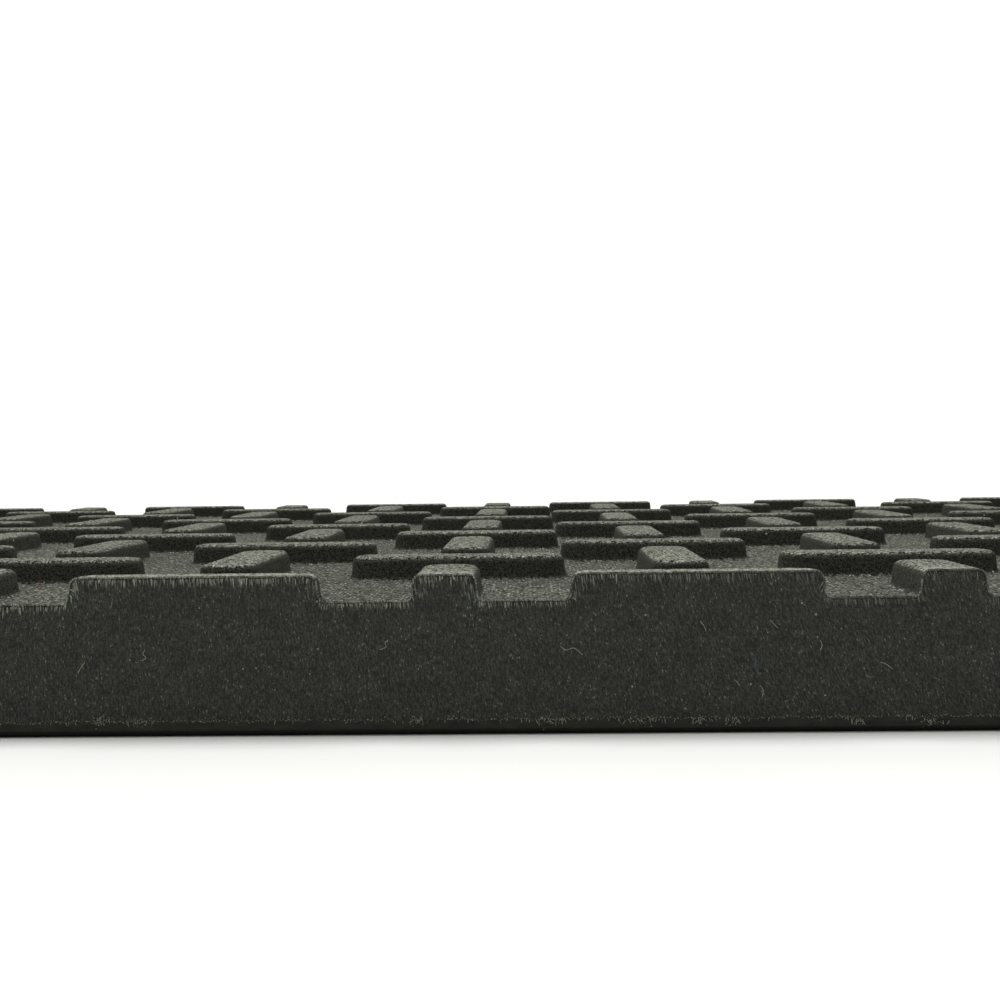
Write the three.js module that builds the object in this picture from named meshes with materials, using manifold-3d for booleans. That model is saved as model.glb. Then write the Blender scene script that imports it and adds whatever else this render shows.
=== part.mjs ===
import * as THREE from "three";
import { ConvexGeometry } from "three/addons/geometries/ConvexGeometry.js";
import { mergeGeometries, mergeVertices } from "three/addons/utils/BufferGeometryUtils.js";
import Module from "manifold-3d";

// Millimetres. X along the mat, Y across it, Z up from the floor it lies on.

// Tread lattice
const PITCH = 37.5;
const PITCHES_LONG = 32;
const PITCHES_WIDE = 8;

// Outline and section
const LENGTH = PITCHES_LONG * PITCH;
const WIDTH = PITCHES_WIDE * PITCH;
const THICKNESS = 24;
const TREAD_HEIGHT = 3.9;
const BASE_THICKNESS = THICKNESS - TREAD_HEIGHT;

// One tread, sizes at its foot
const TREAD_LENGTH = 37.9;
const TREAD_WIDTH = 10.1;
const TREAD_DRAFT = THREE.MathUtils.degToRad(7);
const TREAD_CHAMFER = 1.2;
const TREAD_ROOT = 1;

// Both long edges are cut this far in front of the centre line of a tread row
const CUT_LEAD = 1.3;

const MERGE_TOLERANCE = 1e-4;

const wasm = await Module();
wasm.setup();

function solidFrom(geometry) {
  const bare = geometry.index ? geometry.toNonIndexed() : geometry.clone();
  const positions = new THREE.BufferGeometry();
  positions.setAttribute("position", bare.getAttribute("position"));
  const merged = mergeVertices(positions, MERGE_TOLERANCE);
  const mesh = new wasm.Mesh({
    numProp: 3,
    vertProperties: merged.attributes.position.array,
    triVerts: new Uint32Array(merged.index.array),
  });
  return new wasm.Manifold(mesh);
}

function geometryFrom(solid) {
  const mesh = solid.getMesh();
  const geometry = new THREE.BufferGeometry();
  geometry.setAttribute("position", new THREE.BufferAttribute(mesh.vertProperties, 3));
  geometry.setIndex(new THREE.BufferAttribute(mesh.triVerts, 1));
  geometry.computeVertexNormals();
  return geometry;
}

// The four corners of a rectangle about the origin at height z
function corners(length, width, z) {
  const x = length / 2;
  const y = width / 2;
  return [
    new THREE.Vector3(-x, -y, z),
    new THREE.Vector3(x, -y, z),
    new THREE.Vector3(x, y, z),
    new THREE.Vector3(-x, y, z),
  ];
}

// A tread's corners at height z over the groove floor, narrowed by its draft and by an inset
function treadRing(z, inset) {
  const narrowing = 2 * (z * Math.tan(TREAD_DRAFT) + inset);
  return corners(TREAD_LENGTH - narrowing, TREAD_WIDTH - narrowing, BASE_THICKNESS + z);
}

// A bar with sloping sides and a chamfered top edge, its long side along X
function treadGeometry() {
  const shoulder = TREAD_HEIGHT - TREAD_CHAMFER;
  const topInset = TREAD_CHAMFER - TREAD_CHAMFER * Math.tan(TREAD_DRAFT);
  return new ConvexGeometry([
    ...treadRing(-TREAD_ROOT, 0),
    ...treadRing(shoulder, 0),
    ...treadRing(TREAD_HEIGHT, topInset),
  ]);
}

// Treads one pitch apart both ways, every second one turned a quarter turn
function treadField() {
  const along = treadGeometry();
  const across = along.clone().rotateZ(Math.PI / 2);
  const treads = [];
  for (let column = 0; column <= PITCHES_LONG; column += 1) {
    for (let row = 0; row <= PITCHES_WIDE; row += 1) {
      const tread = (column + row) % 2 === 0 ? along : across;
      const x = column * PITCH - LENGTH / 2;
      const y = row * PITCH - WIDTH / 2 + CUT_LEAD;
      treads.push(tread.clone().translate(x, y, 0));
    }
  }
  return mergeGeometries(treads);
}

// A plain block of the mat's outline from the floor up
function block(height) {
  return new THREE.BoxGeometry(LENGTH, WIDTH, height).translate(0, 0, height / 2);
}

// The treads are trimmed to the outline, so those on an edge show their cut section
function matGeometry() {
  const treads = solidFrom(treadField()).intersect(solidFrom(block(THICKNESS)));
  const mat = solidFrom(block(BASE_THICKNESS)).add(treads);
  return geometryFrom(mat);
}

const rubber = new THREE.MeshStandardMaterial({ color: 0x2b2c2a, roughness: 0.85, metalness: 0 });
const mat = new THREE.Mesh(matGeometry(), rubber);
mat.name = "mat";

const part = new THREE.Group();
part.name = "ground_protection_mat";
part.add(mat);

export default part;
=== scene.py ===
import math
import random

import bmesh
import bpy
from mathutils import Matrix, Vector, noise
from mathutils.geometry import delaunay_2d_cdt


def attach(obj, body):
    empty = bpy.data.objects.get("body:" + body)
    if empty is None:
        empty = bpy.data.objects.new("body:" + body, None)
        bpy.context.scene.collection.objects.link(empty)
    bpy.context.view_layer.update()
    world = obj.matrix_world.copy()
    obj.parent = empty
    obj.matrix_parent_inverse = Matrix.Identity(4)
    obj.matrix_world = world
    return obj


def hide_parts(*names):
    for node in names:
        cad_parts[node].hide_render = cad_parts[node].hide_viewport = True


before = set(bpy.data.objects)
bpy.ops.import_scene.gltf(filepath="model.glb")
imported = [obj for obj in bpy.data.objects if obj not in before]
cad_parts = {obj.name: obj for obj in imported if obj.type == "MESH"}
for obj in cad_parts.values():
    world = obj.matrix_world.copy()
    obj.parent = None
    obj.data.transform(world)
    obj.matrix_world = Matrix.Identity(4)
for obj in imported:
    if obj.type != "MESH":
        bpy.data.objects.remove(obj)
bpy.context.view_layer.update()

# Everything below is worked out in millimetres and turned into metres when a mesh is made.
MM = 0.001

# The sheet, as in the part's source
PITCH = 37.5
PITCHES_LONG = 32
PITCHES_WIDE = 8
LENGTH = PITCHES_LONG * PITCH
WIDTH = PITCHES_WIDE * PITCH
THICKNESS = 24.0
TREAD_HEIGHT = 3.9
BASE = THICKNESS - TREAD_HEIGHT
TREAD_LENGTH = 37.9
TREAD_WIDTH = 10.1
TREAD_DRAFT = math.radians(7)
CUT_LEAD = 1.3

# Moulded roundings of a tread
FOOT_RADIUS = 0.8
TOP_RADIUS = 1.25
CORNER_RADIUS = 4.2
LEAST_CORNER = 0.35
CORNER_STEPS = 4
FOOT_STEPS = 2
TOP_STEPS = 4
SUPPORT = 0.6

# How far the moulded face runs past the sheet before it is cut to size
SKIN_MARGIN = 30.0

# Lengths that count as nothing: where points are joined, in a sawn face's triangles, between places
WELD = 1e-5
FINE_WELD = 1e-6
SAME_PLACE = 1e-3

# The sawn edge: depth below the lip and how far each ring stands out from the saw's plane
EDGE_RINGS = ((0.2, 0.05), (0.34, -0.12), (0.62, 0.0), (1.1, 0.0))
LIP_OUT = 0.04
LIP_RAISE = 0.09
LIP_BAND = 0.45
CORNER_LEVELS = (16.0, 11.0, 6.5)
DEEP = 6.0

# Waves of the cut edges. Lip: height, size and seed. Sawn face: height, length along, length up and
# seed. Top of the strip: height, length and seed.
LIP_MEAN = 0.5
LIP_WAVES = ((0.6, 0.9, 4), (0.6, 0.35, 5))
SAW_WAVES = ((0.10, 19, 26, 1), (0.05, 4.5, 12, 2), (0.025, 1.1, 4, 3))
STRIP_WAVES = ((0.16, 2.1, 21), (0.12, 0.7, 22))
RING_JITTER = 0.05
RING_JITTER_SIZE = 0.6

# How far from a side's ends its waves reach their full height, on the face and under the lip
END_FADE = 3.0
LIP_END_FADE = 1.0

# The smooth strip under the sawn face: height and inset of each ring
STRIP_TOP = 2.3
STRIP_RINGS = ((2.15, 0.14), (0.95, 0.16), (0.45, 0.4), (0.0, 0.95))

# The stretch of the front edge that the photograph shows close up, in X
SEEN_FROM = -118.0
SEEN_TO = 72.0

# Point spacing along that stretch, along the rest of the front edge and along the others
SEEN_STEP = 0.25
NEAR_STEP = 0.6
FAR_STEP = 1.15

# Columns and heights of the sawn face's inner points, on the front edge and on the others, and how
# far they are strewn: in shares of a column along and in millimetres up
NEAR_FILL = 2.4
FAR_FILL = 5.0
NEAR_FILL_LEVELS = (4.2, 6.4, 8.6, 10.8, 13.0, 15.2, 17.2)
FAR_FILL_LEVELS = (5.5, 10.0, 14.5, 17.0)
STREW_ALONG = 0.3
STREW_UP = 0.5

# Torn strokes lean along the edge by this much for each millimetre that they run down. The lean swings
# about its mean on the way round the sheet, through the mean at the centre and once in each wave.
LEAN_MEAN = 0.17
LEAN_SWING = 0.15
LEAN_CENTRE = 576.0
LEAN_WAVE = 330.0

# Face materials of the mat
MOULDED, SAWN, STRIP = 0, 1, 2

rng = random.Random(7)


def ripple(s, z, seed):
    """A smooth value from -1 to 1 that depends only on the place."""
    return noise.noise(Vector((s, z, seed * 17.31)))


def lean_swing(way):
    """-1 where the torn strokes stand upright and 1 where they lean most."""
    return math.sin(2 * math.pi * (way - LEAN_CENTRE) / LEAN_WAVE)


# Camera, solved from the tread lattice in the photograph, which was taken as square

PICTURE_SIZE = 1000
FOCAL_PX = 1355.89
YAW = 0.02547
PITCH_DOWN = 0.03267
ROLL = 0.01234
SENSOR_MM = 36

# The camera's place in pitches: right of a tread column, before the cut edge, above the groove floor
FIRST_COLUMN = 14
CAMERA_RIGHT, CAMERA_BEFORE, CAMERA_ABOVE = 1.36089, 5.33235, 0.56836
CAMERA_MM = Vector((
    -LENGTH / 2 + FIRST_COLUMN * PITCH + CAMERA_RIGHT * PITCH,
    -WIDTH / 2 - CAMERA_BEFORE * PITCH,
    BASE + CAMERA_ABOVE * PITCH,
))


def camera_axes():
    """The camera's right, up and forward directions."""
    cy, sy = math.cos(YAW), math.sin(YAW)
    cp, sp = math.cos(PITCH_DOWN), math.sin(PITCH_DOWN)
    cr, sr = math.cos(ROLL), math.sin(ROLL)
    level = Vector((cy, sy, 0))
    forward = Vector((-sy * cp, cy * cp, -sp))
    upright = Vector((-sy * sp, cy * sp, cp))
    return cr * level - sr * upright, sr * level + cr * upright, forward


RIGHT, UPWARD, FORWARD = camera_axes()


def seen_at(pixel, point, normal):
    """Where the line of sight through a pixel of the photograph meets a plane."""
    half = PICTURE_SIZE / 2
    sight = FORWARD + RIGHT * ((pixel[0] - half) / FOCAL_PX) - UPWARD * ((pixel[1] - half) / FOCAL_PX)
    return CAMERA_MM + sight * ((point - CAMERA_MM).dot(normal) / sight.dot(normal))


def add_object(name, data):
    obj = bpy.data.objects.new(name, data)
    bpy.context.scene.collection.objects.link(obj)
    return obj


def add_camera():
    camera = add_object("camera", bpy.data.cameras.new("camera"))
    camera.data.sensor_width = SENSOR_MM
    camera.data.lens = FOCAL_PX * SENSOR_MM / PICTURE_SIZE
    camera.data.clip_start = 0.01
    camera.data.clip_end = 100
    turn = Matrix((RIGHT, UPWARD, -FORWARD)).transposed()
    camera.matrix_world = Matrix.Translation(CAMERA_MM * MM) @ turn.to_4x4()
    bpy.context.scene.camera = camera


# The moulded face


def tread_profile():
    """Inset from the foot line and height over the groove floor, from the floor up to the flat top."""
    sine, cosine = math.sin(TREAD_DRAFT), math.cos(TREAD_DRAFT)
    foot_out = FOOT_RADIUS * (1 - sine) / cosine
    rings = [(-foot_out - SUPPORT, 0.0)]
    for k in range(FOOT_STEPS + 1):
        a = -math.pi / 2 + (math.pi / 2 - TREAD_DRAFT) * k / FOOT_STEPS
        rings.append((-foot_out + FOOT_RADIUS * math.cos(a), FOOT_RADIUS + FOOT_RADIUS * math.sin(a)))
    centre_z = TREAD_HEIGHT - TOP_RADIUS
    centre_d = (TOP_RADIUS + centre_z * sine) / cosine
    for k in range(TOP_STEPS + 1):
        a = math.pi - TREAD_DRAFT - (math.pi / 2 - TREAD_DRAFT) * k / TOP_STEPS
        rings.append((centre_d + TOP_RADIUS * math.cos(a), centre_z + TOP_RADIUS * math.sin(a)))
    return rings


def rounded_loop(half_long, half_short, radius):
    """Points of a rounded rectangle about the origin, counter-clockwise."""
    points = []
    for quarter in range(4):
        sx = 1 if quarter in (0, 3) else -1
        sy = 1 if quarter in (0, 1) else -1
        for k in range(CORNER_STEPS + 1):
            a = math.pi / 2 * (quarter + k / CORNER_STEPS)
            x = sx * (half_long - radius) + radius * math.cos(a)
            y = sy * (half_short - radius) + radius * math.sin(a)
            points.append((x, y))
    return points


def tread_rings():
    rings = []
    for inset, height in tread_profile():
        radius = max(CORNER_RADIUS - inset, LEAST_CORNER)
        loop = rounded_loop(TREAD_LENGTH / 2 - inset, TREAD_WIDTH / 2 - inset, radius)
        rings.append([(x, y, height) for x, y in loop])
    return rings


def skin_data():
    """Vertices and faces of the moulded face, a little larger than the sheet."""
    rings = tread_rings()
    count = len(rings[0])
    verts, faces, owner = [], [], []
    outer_x, outer_y = LENGTH / 2 + SKIN_MARGIN, WIDTH / 2 + SKIN_MARGIN
    flat = []
    for x, y in ((-outer_x, -outer_y), (outer_x, -outer_y), (outer_x, outer_y), (-outer_x, outer_y)):
        flat.append(Vector((x, y)))
        verts.append((x, y, BASE))
        owner.append(-1)
    flat_edges = [(0, 1), (1, 2), (2, 3), (3, 0)]
    to_vert = [0, 1, 2, 3]
    for column in range(PITCHES_LONG + 1):
        for row in range(PITCHES_WIDE + 1):
            cx = column * PITCH - LENGTH / 2
            cy = row * PITCH - WIDTH / 2 + CUT_LEAD
            turned = (column + row) % 2 == 1
            tread = column * (PITCHES_WIDE + 1) + row
            first = len(verts)
            for ring in rings:
                for x, y, z in ring:
                    px, py = (-y, x) if turned else (x, y)
                    verts.append((cx + px, cy + py, BASE + z))
                    owner.append(tread)
            start = len(flat)
            for k in range(count):
                flat.append(Vector(verts[first + k][:2]))
                to_vert.append(first + k)
                flat_edges.append((start + k, start + (k + 1) % count))
            for r in range(len(rings) - 1):
                a, b = first + r * count, first + (r + 1) * count
                for k in range(count):
                    n = (k + 1) % count
                    faces.append((a + k, a + n, b + n, b + k))
            last = first + (len(rings) - 1) * count
            faces.append(tuple(range(last, last + count)))
    _, _, triangles, origin, _, _ = delaunay_2d_cdt(flat, flat_edges, [], 0, WELD)
    for tri in triangles:
        ids = [to_vert[origin[v][0]] for v in tri]
        owners = {owner[v] for v in ids}
        if len(owners) == 1 and -1 not in owners:
            continue
        faces.append(tuple(ids))
    return verts, faces


def cut(bm, co, no, clear):
    geom = bm.verts[:] + bm.edges[:] + bm.faces[:]
    bmesh.ops.bisect_plane(bm, geom=geom, dist=WELD, plane_co=co, plane_no=no, clear_outer=clear)


def trimmed_skin():
    """The moulded face, cut to the sheet's outline, with a narrow band left inside each cut."""
    verts, faces = skin_data()
    bm = bmesh.new()
    bm.loops.layers.uv.new("sheet")
    bm.verts.layers.float.new("edge_mm")
    made = [bm.verts.new(v) for v in verts]
    for face in faces:
        bm.faces.new([made[v] for v in face])
    for sign in (-1, 1):
        cut(bm, (sign * LENGTH / 2, 0, 0), (sign, 0, 0), True)
        cut(bm, (0, sign * WIDTH / 2, 0), (0, sign, 0), True)
    for sign in (-1, 1):
        cut(bm, (sign * (LENGTH / 2 - LIP_BAND), 0, 0), (sign, 0, 0), False)
        cut(bm, (0, sign * (WIDTH / 2 - LIP_BAND), 0), (0, sign, 0), False)
    return bm


# The cut edges

# Each side: start corner, direction along it, outward direction, its length and where it starts on
# the way round the sheet
SIDES = (
    (Vector((-LENGTH / 2, -WIDTH / 2)), Vector((1, 0)), Vector((0, -1)), LENGTH, 0.0),
    (Vector((LENGTH / 2, -WIDTH / 2)), Vector((0, 1)), Vector((1, 0)), WIDTH, LENGTH),
    (Vector((LENGTH / 2, WIDTH / 2)), Vector((-1, 0)), Vector((0, 1)), LENGTH, LENGTH + WIDTH),
    (Vector((-LENGTH / 2, WIDTH / 2)), Vector((0, -1)), Vector((-1, 0)), WIDTH, 2 * LENGTH + WIDTH),
)
FRONT = 0


def is_seen(side, s):
    """Whether a place on a side is in the stretch that the photograph shows close up."""
    return side == FRONT and SEEN_FROM < s - LENGTH / 2 < SEEN_TO


def place_on(side, s, z, stand):
    """A place on one side, standing out from the saw's plane by the given amount."""
    corner, along, out, _, _ = SIDES[side]
    xy = corner + along * s + out * stand
    return Vector((xy.x, xy.y, z))


def on_front(vert):
    return abs(vert.co.y + WIDTH / 2) < SAME_PLACE


def split_boundary(bm):
    """Divides every boundary edge into short pieces."""
    for edge in [e for e in bm.edges if e.is_boundary]:
        a, b = edge.verts
        step = FAR_STEP
        if on_front(a) and on_front(b):
            middle = (a.co.x + b.co.x) / 2
            step = SEEN_STEP if is_seen(FRONT, middle + LENGTH / 2) else NEAR_STEP
        pieces = max(1, math.ceil(edge.calc_length() / step))
        for k in range(pieces - 1):
            _, a = bmesh.utils.edge_split(edge, a, 1 / (pieces - k))


def boundary_sides(bm):
    """The boundary vertices of each side in order, from its start corner to its end corner."""
    follow = {}
    for edge in bm.edges:
        if edge.is_boundary:
            a, b = edge.verts
            follow.setdefault(a, []).append(b)
            follow.setdefault(b, []).append(a)
    start = min(follow, key=lambda v: (v.co.x + LENGTH / 2) ** 2 + (v.co.y + WIDTH / 2) ** 2)
    loop, here = [start], max(follow[start], key=lambda v: v.co.x)
    while here is not start:
        loop.append(here)
        a, b = follow[here]
        here = b if a is loop[-2] else a
    loop.append(start)
    sides, k = [], 0
    for corner, along, _, length, _ in SIDES:
        chain = [loop[k]]
        while (Vector(loop[k].co[:2]) - corner).dot(along) < length - SAME_PLACE:
            k += 1
            chain.append(loop[k])
        sides.append(chain)
    return sides


def chain_line(side, chain):
    """The places (s, z) of a side's boundary vertices."""
    corner, along, _, _, _ = SIDES[side]
    return [((Vector(vert.co[:2]) - corner).dot(along), vert.co.z) for vert in chain]


def fade(s, length, reach=END_FADE):
    """0 at a side's two ends and 1 from a short way in."""
    return max(0.0, min(1.0, s / reach, (length - s) / reach))


def saw_wander(way, z):
    """How far the sawn face leaves the saw's plane at a place on the way round the sheet."""
    return sum(height * ripple(way / along, z / up, seed) for height, along, up, seed in SAW_WAVES)


def strip_ragged(way):
    """How far the strip's top leaves its level at a place on the way round the sheet."""
    return sum(height * ripple(way / size, 0, seed) for height, size, seed in STRIP_WAVES)


def direction_at(line, k):
    """The direction of a line of (s, z) at one of its inner points."""
    (s0, z0), (s1, z1) = line[k - 1], line[k + 1]
    return Vector((s1 - s0, z1 - z0)).normalized()


class Wall:
    """Adds the sides and the underside to the trimmed skin."""

    def __init__(self, bm):
        self.bm = bm
        self.uv = bm.loops.layers.uv["sheet"]
        self.depth = bm.verts.layers.float["edge_mm"]
        self.corners = {}

    def point(self, side, s, z, stand, depth):
        vert = self.bm.verts.new(place_on(side, s, z, stand))
        vert[self.depth] = depth
        return vert

    def corner_point(self, side, at_end, key, z, stand, depth):
        """The vertex of a sheet corner's column, shared by the two sides that meet there."""
        index = (side + (1 if at_end else 0)) % 4
        if (index, key) not in self.corners:
            corner, _, out, _, _ = SIDES[index]
            before = SIDES[(index - 1) % 4][2]
            xy = corner + (out + before) * stand
            vert = self.bm.verts.new((xy.x, xy.y, z))
            vert[self.depth] = depth
            self.corners[index, key] = vert
        return self.corners[index, key]

    def face(self, side, verts, coords, material):
        start = SIDES[side][4]
        face = self.bm.faces.new(verts)
        face.material_index = material
        for loop, (s, z) in zip(face.loops, coords):
            loop[self.uv].uv = ((start + s) * MM, z * MM)

    def band(self, side, upper, lower, material):
        """Quads between two rows of (vertex, s, z) with as many points each."""
        for k in range(len(upper) - 1):
            quad = (upper[k], lower[k], lower[k + 1], upper[k + 1])
            self.face(side, [q[0] for q in quad], [(q[1], q[2]) for q in quad], material)

    def fill(self, side, upper, lower, step, levels):
        """Triangles between the last ring under the lip and the strip's top."""
        _, _, _, length, start = SIDES[side]
        left = [(self.corner_point(side, False, ("level", z), z, 0, DEEP), 0.0, z) for z in CORNER_LEVELS]
        right = [(self.corner_point(side, True, ("level", z), z, 0, DEEP), length, z) for z in CORNER_LEVELS]
        ring = upper + right + lower[::-1] + left[::-1]
        known = list(ring)
        columns = round(length / step)
        for c in range(1, columns):
            for z in levels:
                s = length * (c + rng.uniform(-STREW_ALONG, STREW_ALONG)) / columns
                height = z + rng.uniform(-STREW_UP, STREW_UP)
                vert = self.point(side, s, height, saw_wander(start + s, height) * fade(s, length), DEEP)
                known.append((vert, s, height))
        coords = [Vector((s, z)) for _, s, z in known]
        edges = [(k, (k + 1) % len(ring)) for k in range(len(ring))]
        _, _, triangles, origin, _, _ = delaunay_2d_cdt(coords, edges, [], 1, FINE_WELD)
        for tri in triangles:
            trio = [known[origin[v][0]] for v in tri]
            self.face(side, [t[0] for t in trio], [(t[1], t[2]) for t in trio], SAWN)

    def lip(self, side, chain, line):
        """Works the cut edge of the moulded face a little ragged and returns its row."""
        _, along, out, _, start = SIDES[side]
        for k in range(1, len(chain) - 1):
            s, z = line[k]
            way = start + s
            waves = (height * ripple(way / size, z / size, seed) for height, size, seed in LIP_WAVES)
            rough = sum(waves, LIP_MEAN)
            tangent = direction_at(line, k)
            lift = Vector((-tangent.y, tangent.x)) * LIP_RAISE * rough
            xy = along * lift.x + out * LIP_OUT * (2 * rough - 0.6)
            chain[k].co += Vector((xy.x, xy.y, lift.y))
        return [(vert, s, z) for vert, (s, z) in zip(chain, line)]

    def under_lip(self, side, line):
        """The rings of the sawn face that follow the cut edge."""
        _, _, _, length, start = SIDES[side]
        rows = []
        for number, (depth, stand) in enumerate(EDGE_RINGS):
            ring = []
            for k, (s, z) in enumerate(line):
                if k in (0, len(line) - 1):
                    vert = self.corner_point(side, k > 0, ("edge", number), z - depth, 0, depth)
                    ring.append((vert, s, z - depth))
                    continue
                tangent = direction_at(line, k)
                s2, z2 = s + tangent.y * depth, z - tangent.x * depth
                way = start + s
                jitter = RING_JITTER * ripple(way / RING_JITTER_SIZE, z / RING_JITTER_SIZE, 10 + number)
                out_by = (stand + jitter + saw_wander(start + s2, z2)) * fade(s2, length, LIP_END_FADE)
                ring.append((self.point(side, s2, z2, out_by, depth), s2, z2))
            rows.append(ring)
        return rows

    def strip(self, side, step):
        """The rows from the strip's ragged top down to the floor."""
        _, _, _, length, start = SIDES[side]
        count = round(length / step)
        rows = []
        for number, (z, inset) in enumerate(((STRIP_TOP, 0.0),) + STRIP_RINGS):
            row = []
            for k in range(count + 1):
                s = length * k / count
                if k in (0, count):
                    vert = self.corner_point(side, k > 0, ("strip", number), z, -inset, DEEP)
                    row.append((vert, s, z))
                    continue
                way = start + s
                height = z + (strip_ragged(way) if number < 2 else 0.0) * fade(s, length)
                wander = saw_wander(way, height) * fade(s, length) if number == 0 else 0.0
                place = inset + (length - 2 * inset) * s / length
                row.append((self.point(side, place, height, wander - inset, DEEP), s, height))
            rows.append(row)
        return rows

    def build(self, chains):
        """Makes every side and closes the underside, and returns the cut edge's line on each side."""
        bottom, lines = [], []
        for side, chain in enumerate(chains):
            line = chain_line(side, chain)
            lines.append(line)
            row = self.lip(side, chain, line)
            rings = self.under_lip(side, line)
            for a, b in zip([row] + rings, rings):
                self.band(side, a, b, SAWN)
            strips = self.strip(side, NEAR_STEP if side == FRONT else FAR_STEP)
            if side == FRONT:
                self.fill(side, rings[-1], strips[0], NEAR_FILL, NEAR_FILL_LEVELS)
            else:
                self.fill(side, rings[-1], strips[0], FAR_FILL, FAR_FILL_LEVELS)
            for a, b in zip(strips, strips[1:]):
                self.band(side, a, b, STRIP)
            bottom += [v for v, _, _ in strips[-1][:-1]]
        self.bm.faces.new(bottom[::-1]).material_index = MOULDED
        return lines


def mat_mesh():
    """The whole mat as one closed mesh, and the cut edge's line on each side."""
    bm = trimmed_skin()
    split_boundary(bm)
    chains = boundary_sides(bm)
    lip_edges = [e for e in bm.edges if e.is_boundary]
    lines = Wall(bm).build(chains)
    uv = bm.loops.layers.uv["sheet"]
    for face in bm.faces:
        face.smooth = True
        if face.material_index == MOULDED:
            for loop in face.loops:
                loop[uv].uv = (loop.vert.co.x * MM, loop.vert.co.y * MM)
    for edge in lip_edges:
        edge.smooth = False
    for edge in bm.edges:
        if {f.material_index for f in edge.link_faces} == {SAWN, STRIP}:
            edge.smooth = False
    bmesh.ops.scale(bm, vec=(MM, MM, MM), verts=bm.verts)
    loose = [e for e in bm.edges if not e.is_manifold]
    print("open edges:", len(loose), "triangles:", sum(len(f.verts) - 2 for f in bm.faces))
    mesh = bpy.data.meshes.new("mat_body")
    bm.to_mesh(mesh)
    bm.free()
    return mesh, lines


# Small closed shapes: torn slivers, crumbs and lint

LUMP_POINTS = ((1, 0, 0), (0, 1, 0), (0, 0, 1), (-1, 0, 0), (0, -1, 0), (0, 0, -1))
LUMP_FACES = ((0, 1, 2), (1, 3, 2), (3, 4, 2), (4, 0, 2), (1, 0, 5), (3, 1, 5), (4, 3, 5), (0, 4, 5))
LUMP_UNEVEN = (0.55, 1.35)

# A sliver's two full sections, as shares of its length, width and lift, and its faces
SLIVER_SECTIONS = ((0.0, 0.75, 0.6), (0.5, 1.0, 1.0))
SLIVER_FACES = ((0, 2, 1), (0, 1, 4, 3), (1, 2, 5, 4), (2, 0, 3, 5), (3, 4, 6), (4, 5, 6), (5, 3, 6))

# A direction that no fibre runs along, to turn its section from, and how thin its ends are
FIBRE_TURN = Vector((0.31, 0.52, 0.79))
FIBRE_END = 0.55


class Bits:
    """Many small closed shapes gathered into one mesh, each with its own tint and material."""

    def __init__(self):
        self.verts, self.faces, self.tints, self.kinds = [], [], [], []

    def add(self, verts, faces, tint, kind=0):
        first = len(self.verts)
        self.verts += verts
        self.faces += [tuple(first + k for k in face) for face in faces]
        self.tints += [tint] * len(verts)
        self.kinds += [kind] * len(faces)

    def lump(self, centre, size, tint, kind=0):
        """An uneven eight-sided crumb."""
        verts = [centre + Vector(p) * size * rng.uniform(*LUMP_UNEVEN) for p in LUMP_POINTS]
        self.add(verts, LUMP_FACES, tint, kind)

    def sliver(self, root, down, out, length, width, lift, tint):
        """A tapering three-sided sliver that lies against a face with its back sunk in it."""
        across = down.cross(out).normalized()
        bend = across * width * rng.uniform(-0.7, 0.7)
        verts = []
        for reach, scale, rise in SLIVER_SECTIONS:
            middle = root + down * length * reach + bend * reach
            verts.append(middle - across * width * scale / 2 - out * lift)
            verts.append(middle + across * width * scale / 2 - out * lift)
            verts.append(middle + out * lift * rise)
        verts.append(root + down * length + bend - out * lift * 0.5)
        self.add(verts, SLIVER_FACES, tint)

    def fibre(self, path, radius, kind):
        """A thin closed strand along a path."""
        verts, faces = [], []
        for k, point in enumerate(path):
            tangent = (path[min(k + 1, len(path) - 1)] - path[max(k - 1, 0)]).normalized()
            side = tangent.cross(FIBRE_TURN).normalized()
            other = tangent.cross(side)
            thin = radius * (FIBRE_END if k in (0, len(path) - 1) else 1.0)
            verts += [point + side * thin, point + other * thin, point - side * thin, point - other * thin]
            if k:
                a, b = 4 * k - 4, 4 * k
                faces += [(a + n, a + (n + 1) % 4, b + (n + 1) % 4, b + n) for n in range(4)]
        faces += [(3, 2, 1, 0), tuple(len(verts) - 4 + n for n in range(4))]
        self.add(verts, faces, 0.5, kind)

    def piece(self, name, materials):
        """The gathered shapes as an object that moves with the mat."""
        bm = bmesh.new()
        tint = bm.verts.layers.float.new("tint")
        made = []
        for place, value in zip(self.verts, self.tints):
            vert = bm.verts.new(place * MM)
            vert[tint] = value
            made.append(vert)
        for face, kind in zip(self.faces, self.kinds):
            bm.faces.new([made[k] for k in face]).material_index = kind
        bmesh.ops.recalc_face_normals(bm, faces=bm.faces)
        print(name, "triangles:", sum(len(f.verts) - 2 for f in bm.faces))
        mesh = bpy.data.meshes.new(name)
        bm.to_mesh(mesh)
        bm.free()
        for material in materials:
            mesh.materials.append(material)
        obj = add_object(name, mesh)
        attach(obj, "root")
        return obj


# Mean gaps between small shapes, where the photograph shows the edge close up and elsewhere
STROKE_GAPS = (0.42, 1.5)
LIP_CRUMB_GAPS = (0.3, 1.4)
STRIP_CRUMB_GAPS = (0.3, 1.5)
GAP_SPREAD = (0.4, 1.6)


def next_gap(side, s, gaps):
    """The way from one small shape to the next on a side."""
    seen, other = gaps
    return (seen if is_seen(side, s) else other) * rng.uniform(*GAP_SPREAD)


def walk(side, line, gaps):
    """Places along a cut edge a varying gap apart, each with the edge's direction there."""
    left = 0.0
    for (s0, z0), (s1, z1) in zip(line, line[1:]):
        span = math.hypot(s1 - s0, z1 - z0)
        at = left
        while at < span:
            s = s0 + (s1 - s0) * at / span
            z = z0 + (z1 - z0) * at / span
            yield s, z, Vector(((s1 - s0) / span, (z1 - z0) / span))
            at += next_gap(side, s, gaps)
        left = at - span


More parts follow.
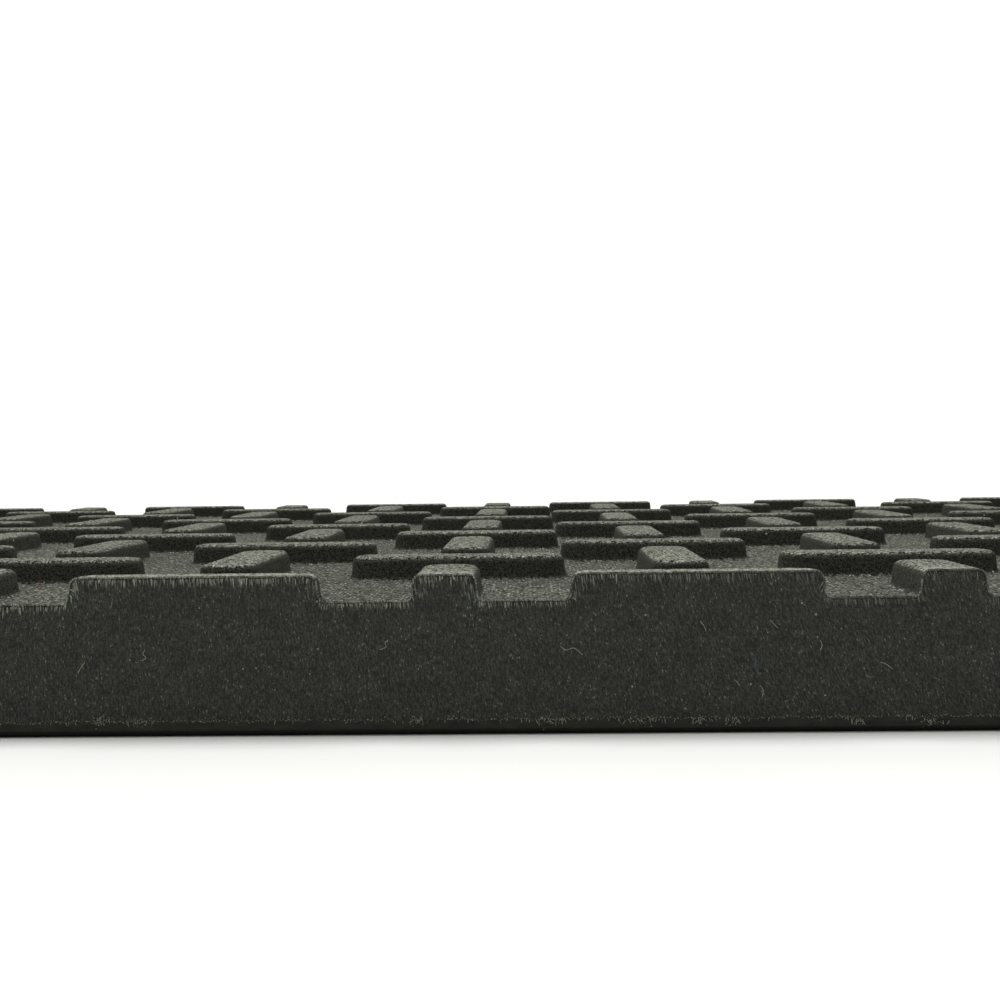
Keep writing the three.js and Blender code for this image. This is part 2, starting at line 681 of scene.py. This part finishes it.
def face_stand(side, s, z):
    """How far the sawn face stands out at a place on a side."""
    _, _, _, length, start = SIDES[side]
    return saw_wander(start + s, z) * fade(s, length)


# Torn strokes keep this far from a side's ends, and this share is left out where the edge is steep
STROKE_CLEAR = 1.5
STEEP = 0.5
STEEP_SHARE_OUT = 0.65


def add_strokes(bits, side, line):
    """Torn slivers that hang from the cut edge."""
    _, _, out, length, start = SIDES[side]
    outward = Vector((out.x, out.y, 0))
    for s, z, tangent in walk(side, line, STROKE_GAPS):
        if not STROKE_CLEAR < s < length - STROKE_CLEAR:
            continue
        if abs(tangent.y) > STEEP and rng.random() < STEEP_SHARE_OUT:
            continue
        swing = lean_swing(start + s)
        inward = Vector((tangent.y, -tangent.x))
        fall = Vector((LEAN_MEAN + LEAN_SWING * swing + rng.uniform(-0.12, 0.12), -1.0))
        path = (inward + fall * 0.9).normalized()
        depth = rng.uniform(0.22, 0.5)
        s2, z2 = s + inward.x * depth, z + inward.y * depth
        root = place_on(side, s2, z2, face_stand(side, s2, z2) + 0.01)
        ahead = place_on(side, s2 + path.x, z2 + path.y, face_stand(side, s2, z2) + 0.01)
        reach = rng.uniform(0.35, 1.25) * (1.0 if rng.random() < 0.7 else 1.5)
        width = rng.uniform(0.1, 0.26)
        tint = min(1.0, rng.uniform(0.3, 1.0) ** 1.6 * (0.85 - 0.50 * swing))
        bits.sliver(root, ahead - root, outward, reach, width, rng.uniform(0.03, 0.06), tint)


def add_lip_crumbs(bits, side, line):
    """Crumbs along the top of the cut edge, in paler and darker runs."""
    _, _, _, length, start = SIDES[side]
    for s, z, tangent in walk(side, line, LIP_CRUMB_GAPS):
        if not 0.5 < s < length - 0.5:
            continue
        away = Vector((-tangent.y, tangent.x))
        rise = rng.uniform(-0.12, 0.07)
        centre = place_on(side, s + away.x * rise, z + away.y * rise, rng.uniform(-0.06, 0.05))
        way = start + s
        pale = 0.5 + 0.9 * ripple(way / 2.6, z / 3, 41) - 0.2 * lean_swing(way)
        bits.lump(centre, rng.uniform(0.06, 0.15), max(0.05, min(1.0, pale + rng.uniform(-0.3, 0.3))))


# Clusters of crumbs on the strip's top, as columns of the photograph's pixels, and the top's row there
CRUMB_CLUSTERS = (
    (92, 110), (128, 156), (408, 424), (535, 565), (618, 665),
    (690, 712), (722, 742), (850, 866), (915, 950),
)
STRIP_ROW = 719
CLUSTER_CRUMBS = 34
CLUSTER_SHREDS = 9


def add_strip_crumbs(bits):
    """Crumbs and short shreds along the top of the smooth strip."""
    for side, (_, _, out, length, start) in enumerate(SIDES):
        outward = Vector((out.x, out.y, 0))
        s = 1.0
        while s < length - 1.0:
            way = start + s
            height = STRIP_TOP + strip_ragged(way)
            centre = place_on(side, s, height + rng.uniform(-0.16, 0.22), face_stand(side, s, height))
            if ripple(way / 5.5, 0, 31) > -0.5:
                bits.lump(centre, rng.uniform(0.05, 0.12), rng.uniform(0.25, 0.85))
            if rng.random() < 0.12:
                tip = Vector((rng.uniform(-0.5, 0.5), 0, -1.0))
                down = tip.x * Vector((-out.y, out.x, 0)) + Vector((0, 0, tip.z))
                reach = rng.uniform(0.3, 0.8)
                bits.sliver(centre, down.normalized(), outward, reach, 0.13, 0.05, rng.uniform(0.3, 0.8))
            s += next_gap(side, s, STRIP_CRUMB_GAPS)
    front_point, front_normal = Vector((0, -WIDTH / 2, 0)), Vector((0, -1, 0))
    for first, last in CRUMB_CLUSTERS:
        for _ in range(CLUSTER_CRUMBS):
            pixel = (rng.triangular(first, last), rng.gauss(STRIP_ROW + 1.5, 2.8))
            centre = seen_at(pixel, front_point, front_normal)
            bits.lump(centre, rng.uniform(0.05, 0.13), rng.uniform(0.3, 0.9))
        for _ in range(CLUSTER_SHREDS):
            pixel = (rng.uniform(first, last), STRIP_ROW + rng.uniform(-2, 2))
            centre = seen_at(pixel, front_point, front_normal)
            down = Vector((rng.uniform(-0.9, 0.9), 0, -1)).normalized()
            bits.sliver(centre, down, front_normal, rng.uniform(0.5, 1.1), 0.12, 0.06, rng.uniform(0.4, 0.9))


# How far in from its foot a tread reaches its full height
TREAD_SLOPE = 0.9


def top_height(x, y):
    """About the height of the moulded face at a place, with the treads' plan corners left square."""
    best = BASE
    column = round((x + LENGTH / 2) / PITCH)
    row = round((y + WIDTH / 2 - CUT_LEAD) / PITCH)
    for c in (column - 1, column, column + 1):
        for r in (row - 1, row, row + 1):
            dx = abs(x - (c * PITCH - LENGTH / 2))
            dy = abs(y - (r * PITCH - WIDTH / 2 + CUT_LEAD))
            if (c + r) % 2:
                dx, dy = dy, dx
            inside = min(TREAD_LENGTH / 2 - dx, TREAD_WIDTH / 2 - dy)
            rise = min(1.0, max(0.0, inside / TREAD_SLOPE))
            best = max(best, BASE + TREAD_HEIGHT * rise)
    return best


# Kinds of lint, which are material slots of its piece
PALE, STRAW, RED, BLUE, DARK = 0, 1, 2, 3, 4

# Fibres seen in the photograph, in its pixels, by what they lie on
EDGE_FIBRES = (
    (PALE, (388, 640), (385, 643), (386, 647), (379, 650)),
    (PALE, (145, 650), (143, 654), (146, 658), (141, 661)),
    (PALE, (85, 662), (82, 666), (78, 673)),
    (PALE, (560, 646), (566, 650), (574, 648), (583, 655)),
    (PALE, (880, 662), (886, 664), (893, 669)),
    (PALE, (770, 620), (774, 624), (778, 628)),
    (PALE, (700, 621), (704, 626), (706, 631)),
    (PALE, (735, 680), (738, 683), (740, 686)),
    (PALE, (760, 685), (763, 690), (762, 697)),
    (PALE, (820, 640), (822, 645), (820, 651)),
    (STRAW, (112.5, 598), (112, 603), (111, 608)),
    (RED, (734, 622), (737, 627)),
    (RED, (281.5, 698), (280, 703)),
    (BLUE, (750, 651), (756, 659), (755, 667), (760, 675)),
    (DARK, (64, 723), (68, 728), (75, 733)),
    (DARK, (60, 728), (67, 731), (80, 733)),
    (DARK, (68, 606), (69, 618), (72, 634), (75, 646)),
    (DARK, (921, 604), (925, 616), (930, 633), (933, 652)),
    (DARK, (858, 660), (866, 668), (878, 677), (893, 683), (912, 692)),
    (DARK, (812, 700), (820, 706), (834, 711)),
)
FLOOR_FIBRES = (
    (PALE, (41, 558), (43, 553), (49, 551), (55, 553)),
    (PALE, (58, 551), (62, 547), (68, 549), (69, 551)),
    (PALE, (463, 552), (471, 548), (482, 549), (490, 554)),
    (PALE, (708, 551), (711, 548), (715, 550)),
    (BLUE, (771, 542), (780, 540), (790, 542)),
    (RED, (37, 588), (40, 584), (41, 588)),
)

# A fibre that stands up from the groove floor, in the photograph's pixels from its foot up
STANDING_FIBRE = ((171, 546), (169, 549), (173, 551), (177, 550), (181, 541), (184, 529))

# Specks seen in the photograph, in its pixels
EDGE_SPECKS = (
    (130, 660), (45, 680), (318, 649), (243, 669), (75, 700),
    (256, 668), (269, 667), (199, 608), (825, 695), (480, 620),
)
STRAW_SPECKS = ((227, 646), (228, 681), (310, 674), (385, 717), (980, 622))
FLOOR_SPECKS = ((163, 570), (29, 598), (40, 598))


# Radii of fibres and specks, and how many lie on the rest of the moulded face
EDGE_FIBRE_RADIUS = 0.03
FLOOR_FIBRE_RADIUS = 0.085
OTHER_FIBRE_RADIUS = 0.05
EDGE_SPECK = 0.11
FLOOR_SPECK = 0.14
OTHER_FIBRES = 70
OTHER_SPECKS = 420


def smooth_path(points, pieces=4):
    """A Catmull-Rom curve through the points."""
    ends = [points[0] * 2 - points[1]] + list(points) + [points[-1] * 2 - points[-2]]
    path = []
    for a, b, c, d in zip(ends, ends[1:], ends[2:], ends[3:]):
        for k in range(pieces):
            t = k / pieces
            bend = (2 * a - 5 * b + 4 * c - d) * t * t + (3 * b - a - 3 * c + d) * t * t * t
            path.append(0.5 * (2 * b + (c - a) * t + bend))
    return path + [points[-1]]


def on_sawn_face(pixel, rise):
    """The place on the front's sawn face that a pixel of the photograph shows, raised a little off it."""
    spot = seen_at(pixel, Vector((0, -WIDTH / 2, 0)), Vector((0, -1, 0)))
    spot.y = -WIDTH / 2 - face_stand(FRONT, spot.x + LENGTH / 2, spot.z) - rise
    return spot


def add_seen_lint(bits):
    """Lint where the photograph shows it, on the front edge and over the groove floor."""
    outward = Vector((0, -1, 0))
    floor, upward = Vector((0, 0, BASE + 0.05)), Vector((0, 0, 1))
    for kind, *pixels in EDGE_FIBRES:
        path = smooth_path([on_sawn_face(p, 0.025) for p in pixels])
        bits.fibre(path, EDGE_FIBRE_RADIUS, kind)
    for kind, *pixels in FLOOR_FIBRES:
        foot = seen_at(max(pixels, key=lambda p: p[1]), floor, upward)
        path = smooth_path([seen_at(p, foot, outward) for p in pixels])
        bits.fibre(path, FLOOR_FIBRE_RADIUS, kind)
    foot = seen_at(STANDING_FIBRE[0], floor, upward)
    tip = seen_at(STANDING_FIBRE[-1], Vector((0, 0, THICKNESS + 0.3)), upward)
    across = (tip - foot).cross(RIGHT)
    path = smooth_path([seen_at(p, foot, across) for p in STANDING_FIBRE])
    bits.fibre(path, FLOOR_FIBRE_RADIUS, PALE)
    for pixel in EDGE_SPECKS:
        bits.lump(on_sawn_face(pixel, 0.03), EDGE_SPECK, 0.5, PALE)
    for pixel in STRAW_SPECKS:
        bits.lump(on_sawn_face(pixel, 0.03), EDGE_SPECK, 0.5, STRAW)
    for pixel in FLOOR_SPECKS:
        bits.lump(seen_at(pixel, floor, upward), FLOOR_SPECK, 0.5, PALE)


def add_other_lint(bits):
    """A few fibres and specks over the rest of the moulded face."""
    for _ in range(OTHER_FIBRES):
        x, y = rng.uniform(-590, 590), rng.uniform(-140, 140)
        angle, length = rng.uniform(0, 2 * math.pi), rng.uniform(1.5, 5.0)
        points = []
        for k in range(5):
            angle += rng.uniform(-0.9, 0.9)
            x += math.cos(angle) * length / 4
            y += math.sin(angle) * length / 4
            points.append(Vector((x, y, top_height(x, y) + 0.06)))
        kind = rng.choice((PALE, PALE, PALE, STRAW, BLUE))
        bits.fibre(smooth_path(points, 3), OTHER_FIBRE_RADIUS, kind)
    for _ in range(OTHER_SPECKS):
        x, y = rng.uniform(-595, 595), rng.uniform(-148, 148)
        centre = Vector((x, y, top_height(x, y) + 0.03))
        bits.lump(centre, rng.uniform(0.07, 0.16), 0.5, rng.choice((PALE, PALE, STRAW)))


# Materials


RANGE_SOCKETS = ("From Min", "From Max", "To Min", "To Max")


class Nodes:
    """Short ways to make shader nodes and link them."""

    def __init__(self, name):
        self.material = bpy.data.materials.new(name)
        self.material.use_nodes = True
        self.tree = self.material.node_tree
        self.shader = self.tree.nodes["Principled BSDF"]

    def new(self, kind, **values):
        node = self.tree.nodes.new(kind)
        for key, value in values.items():
            setattr(node, key, value)
        return node

    def put(self, socket, value):
        if isinstance(value, bpy.types.NodeSocket):
            self.tree.links.new(value, socket)
        else:
            socket.default_value = value

    def noise(self, vector, scale, detail=2.0, rough=0.5):
        node = self.new("ShaderNodeTexNoise")
        self.put(node.inputs["Vector"], vector)
        node.inputs["Scale"].default_value = scale
        node.inputs["Detail"].default_value = detail
        node.inputs["Roughness"].default_value = rough
        return node.outputs["Fac"]

    def cells(self, vector, scale):
        """Distance to the nearest scattered point, and a random value for that point."""
        node = self.new("ShaderNodeTexVoronoi")
        self.put(node.inputs["Vector"], vector)
        node.inputs["Scale"].default_value = scale
        split = self.new("ShaderNodeSeparateColor")
        self.put(split.inputs[0], node.outputs["Color"])
        return node.outputs["Distance"], split.outputs[0]

    def dots(self, vector, scale, core, rim, least, sure):
        """1 on scattered dots and 0 between them. A dot shows by its chance, from least to sure."""
        distance, chance = self.cells(vector, scale)
        shown = self.step(chance, least, sure)
        return self.times(self.step(distance, core, rim, 1.0, 0.0), shown)

    def maths(self, operation, a, b=0.0):
        node = self.new("ShaderNodeMath", operation=operation)
        self.put(node.inputs[0], a)
        self.put(node.inputs[1], b)
        return node.outputs[0]

    def times(self, a, b):
        return self.maths("MULTIPLY", a, b)

    def sum(self, *weighted):
        """The sum of (value, weight) pairs."""
        total = None
        for value, weight in weighted:
            part = self.times(value, weight)
            total = part if total is None else self.maths("ADD", total, part)
        return total

    def step(self, value, low, high, to_low=0.0, to_high=1.0):
        """A smooth ramp of a value."""
        node = self.new("ShaderNodeMapRange", interpolation_type="SMOOTHSTEP")
        self.put(node.inputs["Value"], value)
        for name, end in zip(RANGE_SOCKETS, (low, high, to_low, to_high)):
            self.put(node.inputs[name], end)
        return node.outputs["Result"]

    def mix(self, factor, a, b):
        node = self.new("ShaderNodeMix", data_type="RGBA")
        self.put(node.inputs["Factor"], factor)
        for name, value in (("A", a), ("B", b)):
            socket = [i for i in node.inputs if i.name == name and i.type == "RGBA"][0]
            self.put(socket, value if isinstance(value, bpy.types.NodeSocket) else (*value, 1.0))
        return [o for o in node.outputs if o.type == "RGBA"][0]

    def scaled(self, vector, scale):
        node = self.new("ShaderNodeVectorMath", operation="MULTIPLY")
        self.put(node.inputs[0], vector)
        self.put(node.inputs[1], scale)
        return node.outputs[0]

    def parts(self, vector):
        node = self.new("ShaderNodeSeparateXYZ")
        self.put(node.inputs[0], vector)
        return node.outputs

    def joined(self, x, y, z=0.0):
        node = self.new("ShaderNodeCombineXYZ")
        for socket, value in zip(node.inputs, (x, y, z)):
            self.put(socket, value)
        return node.outputs[0]

    def bump(self, height, distance, strength=1.0):
        node = self.new("ShaderNodeBump")
        self.put(node.inputs["Height"], height)
        node.inputs["Distance"].default_value = distance
        node.inputs["Strength"].default_value = strength
        return node.outputs["Normal"]

    def surface(self, colour, normal, roughness, specular=0.5, sheen=0.0, sheen_rough=0.5):
        shader = self.shader
        self.put(shader.inputs["Base Color"], colour)
        self.put(shader.inputs["Normal"], normal)
        self.put(shader.inputs["Roughness"], roughness)
        shader.inputs["Specular IOR Level"].default_value = specular
        shader.inputs["Sheen Weight"].default_value = sheen
        shader.inputs["Sheen Roughness"].default_value = sheen_rough
        return self.material


def moulded_rubber():
    """Coarsely grained black skin, with a pale dusty coat that is partly painted sheen and painted glints on
    what faces up, and painted shade in its pits and on the groove floor.
    """
    n = Nodes("moulded_rubber")
    place = n.new("ShaderNodeTexCoord").outputs["Object"]
    up = n.parts(n.new("ShaderNodeNewGeometry").outputs["Normal"])[2]
    x, y, height = n.parts(place)
    raised = n.step(height, (BASE + 0.3) * MM, (BASE + 2.6) * MM)
    grain = n.noise(place, 2500, 2.0, 0.6)
    sand = n.noise(place, 5200, 1.0, 0.5)
    clump = n.noise(place, 1050, 1.0, 0.5)
    patch = n.noise(place, 28, 3.0, 0.6)
    rough = n.sum((grain, 0.42), (sand, 0.28), (clump, 0.30))
    tone = n.step(n.sum((grain, 0.45), (sand, 0.55)), 0.36, 0.64)
    # Painted shade: the groove floor is darker than the tread tops, as if shaded by the treads, and the tops
    # are also lighter from wear
    dark = n.mix(raised, (0.0100, 0.0106, 0.0089), (0.0140, 0.0149, 0.0124))
    light = n.mix(raised, (0.068, 0.071, 0.060), (0.080, 0.084, 0.070))
    colour = n.mix(tone, dark, light)
    # What faces up gets painted shade in its pits and a pale dusty coat on its grain
    facing = n.step(up, 0.55, 0.98)
    sunk = n.times(facing, n.step(rough, 0.44, 0.52, 0.9, 0.0))
    colour = n.mix(sunk, colour, (0.006, 0.0064, 0.0054))
    # Painted sheen: what faces up gets a pale dusty coat, partly its real dusting and partly a painted
    # glancing sheen, weaker on the groove floor
    dust_and_sheen = n.times(facing, n.step(patch, 0.3, 0.7, 0.7, 1.0))
    dust_and_sheen = n.times(dust_and_sheen, n.step(rough, 0.485, 0.545))
    dust_and_sheen = n.times(dust_and_sheen, n.step(raised, 0.0, 1.0, 0.42, 1.0))
    colour = n.mix(dust_and_sheen, colour, (0.36, 0.368, 0.315))
    # Painted glints: bright grains on what faces up that stand in for its sparkle
    glint = n.times(n.dots(place, 1500, 0.20, 0.36, 0.66, 0.70), facing)
    colour = n.mix(n.times(glint, 0.9), colour, (0.62, 0.63, 0.55))
    # The skin is scuffed pale along the cut
    from_end = n.maths("SUBTRACT", LENGTH / 2 * MM, n.maths("ABSOLUTE", x))
    from_side = n.maths("SUBTRACT", WIDTH / 2 * MM, n.maths("ABSOLUTE", y))
    from_cut = n.maths("MINIMUM", from_end, from_side)
    scuff = n.times(n.step(from_cut, 0.0002, 0.0075, 1.0, 0.0), n.step(raised, 0.2, 1.0))
    scuff = n.times(scuff, n.times(facing, n.step(rough, 0.44, 0.54)))
    colour = n.mix(n.times(scuff, 0.85), colour, (0.42, 0.43, 0.37))
    # A few large pale specks
    speck = n.dots(place, 420, 0.06, 0.11, 0.95, 0.955)
    colour = n.mix(speck, colour, (0.55, 0.54, 0.45))
    return n.surface(colour, n.bump(rough, 0.0004, 0.9), n.step(tone, 0.0, 1.0, 0.95, 0.8), 0.06)


def stroke_coordinates(n, uv):
    """Coordinates on a sawn face, sheared as its strokes lean, and the swing of that lean."""
    s, z, _ = n.parts(uv)
    turn = n.times(n.maths("SUBTRACT", s, LEAN_CENTRE * MM), 2 * math.pi / (LEAN_WAVE * MM))
    swing = n.maths("SINE", turn)
    lean = n.maths("ADD", n.times(swing, LEAN_SWING), LEAN_MEAN)
    return n.joined(n.maths("ADD", s, n.times(lean, z)), z), swing


def sawn_rubber():
    """Rough sawn rubber with fine upright strokes, torn pale under the cut edge, with a painted highlight on
    the lip, painted shadow under it and painted shade in small pits.
    """
    n = Nodes("sawn_rubber")
    uv = n.new("ShaderNodeUVMap", uv_map="sheet").outputs["UV"]
    strokes_at, swing = stroke_coordinates(n, uv)
    depth = n.new("ShaderNodeAttribute", attribute_name="edge_mm").outputs["Fac"]
    streak = n.noise(n.scaled(strokes_at, (3900, 1250, 1)), 1.0, 1.5, 0.6)
    broad = n.noise(n.scaled(strokes_at, (1500, 330, 1)), 1.0, 1.0, 0.5)
    grain = n.noise(uv, 4100, 1.5, 0.6)
    cloud = n.noise(uv, 230, 2.0, 0.55)
    rough = n.sum((streak, 0.48), (grain, 0.38), (broad, 0.14))
    tone = n.sum((rough, 1.0), (cloud, 0.10))
    colour = n.mix(n.step(tone, 0.46, 0.66), (0.0050, 0.0054, 0.0043), (0.041, 0.0445, 0.0355))
    # Small bright flecks, and painted shade in small pits
    fleck = n.dots(n.scaled(strokes_at, (3700, 1500, 1)), 1.0, 0.12, 0.40, 0.40, 1.0)
    fleck = n.times(fleck, n.step(rough, 0.44, 0.56, 0.25, 1.0))
    fleck = n.times(fleck, n.step(cloud, 0.36, 0.62, 0.35, 1.0))
    colour = n.mix(n.times(fleck, 0.95), colour, (0.24, 0.259, 0.208))
    pit_shade = n.dots(n.scaled(uv, (2100, 1500, 1)), 1.0, 0.12, 0.42, 0.60, 0.8)
    colour = n.mix(n.times(pit_shade, 0.8), colour, (0.0035, 0.0038, 0.0030))
    # Sparse dark saw lines
    scratch = n.noise(n.scaled(strokes_at, (900, 70, 1)), 1.0, 1.0, 0.5)
    colour = n.mix(n.step(scratch, 0.66, 0.76, 0.0, 0.6), colour, (0.006, 0.0065, 0.005))
    # Pale torn strokes under the cut edge, each of its own length
    stroke = n.noise(n.scaled(strokes_at, (4200, 420, 1)), 1.0, 1.0, 0.5)
    reach = n.step(n.noise(n.scaled(strokes_at, (3000, 60, 1)), 1.0, 1.0), 0.35, 0.65, 0.5, 2.0)
    near = n.step(n.maths("DIVIDE", depth, reach), 0.5, 1.0, 1.0, 0.0)
    torn = n.times(n.step(stroke, 0.50, 0.60), near)
    torn = n.times(torn, n.maths("ADD", n.times(swing, -0.30), 0.5))
    colour = n.mix(torn, colour, (0.24, 0.258, 0.205))
    # The lip is torn pale, partly worn and partly a painted highlight where it catches the light from above,
    # and a painted shadow runs in the groove under it
    broken = n.step(n.noise(uv, 2600, 2.0, 0.6), 0.38, 0.60, 0.1, 1.0)
    broken = n.times(broken, n.step(n.noise(uv, 380, 1.0, 0.5), 0.40, 0.60, 0.2, 1.0))
    broken = n.times(broken, n.maths("ADD", n.times(swing, -0.22), 0.7))
    lip = n.times(n.step(depth, 0.12, 0.24, 1.0, 0.0), broken)
    colour = n.mix(lip, colour, (0.27, 0.28, 0.235))
    groove = n.times(n.step(depth, 0.2, 0.3), n.step(depth, 0.36, 0.55, 1.0, 0.0))
    groove = n.times(groove, n.step(n.noise(uv, 450, 1.0, 0.5), 0.40, 0.60, 0.95, 0.3))
    colour = n.mix(groove, colour, (0.005, 0.0054, 0.0043))
    # Scattered pale and straw-coloured specks
    distance, chance = n.cells(uv, 520)
    speck = n.times(n.step(distance, 0.05, 0.11, 1.0, 0.0), n.step(chance, 0.86, 0.90))
    straw = n.step(chance, 0.965, 0.97)
    speck_colour = n.mix(straw, (0.30, 0.31, 0.26), (0.34, 0.28, 0.11))
    colour = n.mix(n.times(speck, 0.8), colour, speck_colour)
    height = n.sum((rough, 1.0), (torn, 0.2))
    return n.surface(colour, n.bump(height, 0.00016, 0.9), 0.72, 0.4)


def smooth_strip():
    """The smooth moulded strip along the foot of a sawn face, with painted shade along its bottom."""
    n = Nodes("smooth_strip")
    uv = n.new("ShaderNodeUVMap", uv_map="sheet").outputs["UV"]
    _, z, _ = n.parts(uv)
    haze = n.noise(n.scaled(uv, (260, 900, 1)), 1.0, 3.0, 0.6)
    fine = n.noise(uv, 5000, 2.0, 0.5)
    tone = n.sum((haze, 0.6), (fine, 0.4))
    colour = n.mix(n.step(tone, 0.3, 0.7), (0.0140, 0.0153, 0.0123), (0.034, 0.037, 0.0293))
    # Painted shade: darker near the floor, for the rounded bottom edge facing down into the contact shadow
    low = n.step(z, 0.00070, 0.00105, 1.0, 0.0)
    colour = n.mix(low, colour, (0.005, 0.005, 0.0048))
    return n.surface(colour, n.bump(fine, 0.00004, 0.6), 0.7, 0.22)


def torn_rubber():
    """Torn slivers and crumbs, some paler than others."""
    n = Nodes("torn_rubber")
    place = n.new("ShaderNodeTexCoord").outputs["Object"]
    tint = n.new("ShaderNodeAttribute", attribute_name="tint").outputs["Fac"]
    fine = n.noise(place, 4200, 2.0, 0.6)
    pale = n.times(tint, n.step(fine, 0.3, 0.6, 0.6, 1.0))
    colour = n.mix(pale, (0.016, 0.017, 0.0135), (0.44, 0.46, 0.38))
    return n.surface(colour, n.bump(fine, 0.00006, 0.8), 0.7, 0.4)


def lint_material(name, dull, bright):
    """Dusty thread of one colour."""
    n = Nodes(name)
    place = n.new("ShaderNodeTexCoord").outputs["Object"]
    fine = n.noise(place, 3000, 2.0, 0.6)
    colour = n.mix(n.step(fine, 0.3, 0.7), dull, bright)
    return n.surface(colour, n.bump(fine, 0.00003, 0.5), 0.8, 0.3)


# The mat, its torn edges and its lint

body_mesh, cut_lines = mat_mesh()
mat = add_object("mat_body", body_mesh)
for material in (moulded_rubber(), sawn_rubber(), smooth_strip()):
    body_mesh.materials.append(material)
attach(mat, "root")
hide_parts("mat")

shreds = Bits()
for number, cut_line in enumerate(cut_lines):
    add_strokes(shreds, number, cut_line)
    add_lip_crumbs(shreds, number, cut_line)
add_strip_crumbs(shreds)
torn_edge = shreds.piece("torn_edge", [torn_rubber()])

lint = Bits()
add_seen_lint(lint)
add_other_lint(lint)
lint.piece("lint", [
    lint_material("lint_pale", (0.30, 0.30, 0.255), (0.60, 0.60, 0.51)),
    lint_material("lint_straw", (0.28, 0.22, 0.08), (0.55, 0.45, 0.20)),
    lint_material("lint_red", (0.20, 0.05, 0.03), (0.45, 0.14, 0.08)),
    lint_material("lint_blue", (0.06, 0.10, 0.14), (0.16, 0.26, 0.34)),
    lint_material("lint_dark", (0.010, 0.011, 0.008), (0.028, 0.030, 0.024)),
])

add_camera()


# Floor and light, in metres and degrees

FLOOR_HALF = 30.0
FLOOR_DROP = 0.00005
FLOOR_COLOUR = (0.92, 0.92, 0.92, 1)

# The sky's strength goes from dim to bright between two values of its direction's Y
SKY_COLOUR = (1.0, 1.01, 0.90, 1)
SKY_DIM, SKY_BRIGHT = 0.3, 1.13
SKY_DIM_AT, SKY_BRIGHT_AT = 0.25, 0.86

SUN_ENERGY = 2.5
SUN_SPREAD = 34
SUN_TILT_X, SUN_TILT_Y = -7, -6


def add_floor():
    mesh = bpy.data.meshes.new("floor")
    corners = [(x * FLOOR_HALF, y * FLOOR_HALF, 0) for x, y in ((-1, -1), (1, -1), (1, 1), (-1, 1))]
    mesh.from_pydata(corners, [], [(0, 1, 2, 3)])
    floor = add_object("floor", mesh)
    floor.location.z = -FLOOR_DROP
    paint = Nodes("pale_floor")
    normal = paint.new("ShaderNodeNewGeometry").outputs["Normal"]
    mesh.materials.append(paint.surface(FLOOR_COLOUR, normal, 0.9, 0.2))


def add_world():
    """A pale sky all round, dimmer in front of the mat than behind it."""
    world = bpy.data.worlds.new("studio")
    bpy.context.scene.world = world
    world.use_nodes = True
    tree = world.node_tree
    background = tree.nodes["Background"]
    where = tree.nodes.new("ShaderNodeTexCoord")
    axes = tree.nodes.new("ShaderNodeSeparateXYZ")
    ramp = tree.nodes.new("ShaderNodeMapRange")
    ramp.interpolation_type = "SMOOTHSTEP"
    tree.links.new(where.outputs["Generated"], axes.inputs[0])
    tree.links.new(axes.outputs[1], ramp.inputs["Value"])
    for name, end in zip(RANGE_SOCKETS, (SKY_DIM_AT, SKY_BRIGHT_AT, SKY_DIM, SKY_BRIGHT)):
        ramp.inputs[name].default_value = end
    tree.links.new(ramp.outputs["Result"], background.inputs["Strength"])
    background.inputs["Color"].default_value = SKY_COLOUR


def add_sun():
    sun = add_object("soft_top", bpy.data.lights.new("soft_top", "SUN"))
    sun.data.energy = SUN_ENERGY
    sun.data.angle = math.radians(SUN_SPREAD)
    sun.rotation_euler = (math.radians(SUN_TILT_X), math.radians(SUN_TILT_Y), 0)


add_floor()
add_world()
add_sun()
bpy.context.scene.view_settings.view_transform = "Standard"
